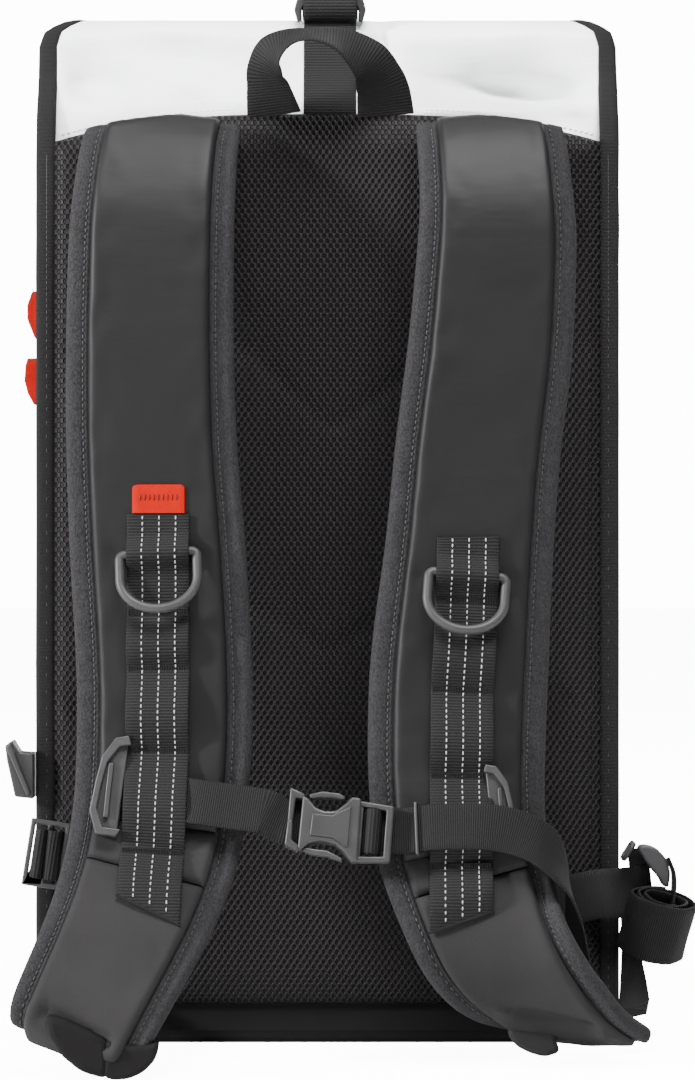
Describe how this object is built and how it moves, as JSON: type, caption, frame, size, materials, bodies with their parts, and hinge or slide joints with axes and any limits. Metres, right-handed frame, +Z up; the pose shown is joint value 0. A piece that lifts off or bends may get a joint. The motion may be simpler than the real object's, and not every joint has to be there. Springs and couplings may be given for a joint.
{
  "type": "roll-top backpack",
  "caption": "Upright roll-top backpack seen from its harness side: padded shoulder straps with webbing ladders and rings, fastened sternum strap, grab handle and rolled collar.",
  "frame": {"origin": "middle of the flat base, on the surface that the backpack stands on", "axes": "+Z up; -Y towards the harness side with the shoulder straps; +X to the right when looking at the harness side"},
  "size_m": [0.3885, 0.3116, 0.5956],
  "materials": {
    "white_fabric": "smooth coated fabric, satin",
    "black_fabric": "plain woven fabric, matt",
    "mesh_fabric": "spacer mesh with small holes in rows",
    "binding_fabric": "ribbed woven tape",
    "strap_border": "heathered knit",
    "strap_face": "smooth coated fabric, satin",
    "strap_end_face": "soft brushed fabric, matt",
    "webbing": "woven webbing with fine cross ribs",
    "grey_plastic": "moulded, satin",
    "tag_rubber": "moulded, matt",
    "red_pull": "woven pull, matt"
  },
  "bodies": {
    "pack": {"pack_shell": "white_fabric", "base_panel": "black_fabric", "back_pad": "mesh_fabric", "side_binding_left": "binding_fabric", "side_binding_right": "binding_fabric", "shoulder_strap_left": "strap_border", "shoulder_strap_right": "strap_border", "strap_face_left": "strap_face", "strap_face_right": "strap_face", "strap_end_face_left": "strap_end_face", "strap_end_face_right": "strap_end_face", "daisy_chain_left": "webbing", "daisy_chain_right": "webbing", "strap_tag": "tag_rubber", "sternum_hook_left": "grey_plastic", "sternum_hook_right": "grey_plastic", "sternum_web_left": "webbing", "sternum_web_right": "webbing", "buckle_socket": "grey_plastic", "buckle_plug": "grey_plastic", "web_keeper": "grey_plastic", "grab_handle": "webbing", "closure_strap": "webbing", "closure_socket": "grey_plastic", "closure_plug": "grey_plastic", "closure_front_web": "webbing", "side_hook_left": "grey_plastic", "side_slider_left": "grey_plastic", "side_web_left": "webbing", "side_web_right": "webbing", "side_ring_right": "grey_plastic", "side_buckle_right": "grey_plastic", "web_roll_right": "webbing", "adjuster_web_left": "webbing", "adjuster_web_right": "webbing", "side_zip": "black_fabric", "zip_pull_upper": "red_pull", "zip_pull_lower": "red_pull"},
    "ring_left": {"d_ring_left": "grey_plastic"},
    "ring_right": {"d_ring_right": "grey_plastic"}
  },
  "joints": [
    {"name": "ring_left_swing", "type": "hinge", "parent": "pack", "child": "ring_left", "pos_m": [-0.09258, -0.14931, 0.27813], "axis": [-0.9962, 0.0531, -0.0697], "range_deg": [0, 100]},
    {"name": "ring_right_swing", "type": "hinge", "parent": "pack", "child": "ring_right", "pos_m": [0.07717, -0.15013, 0.26644], "axis": [-0.9954, -0.0318, 0.0908], "range_deg": [0, 100]}
  ]
}
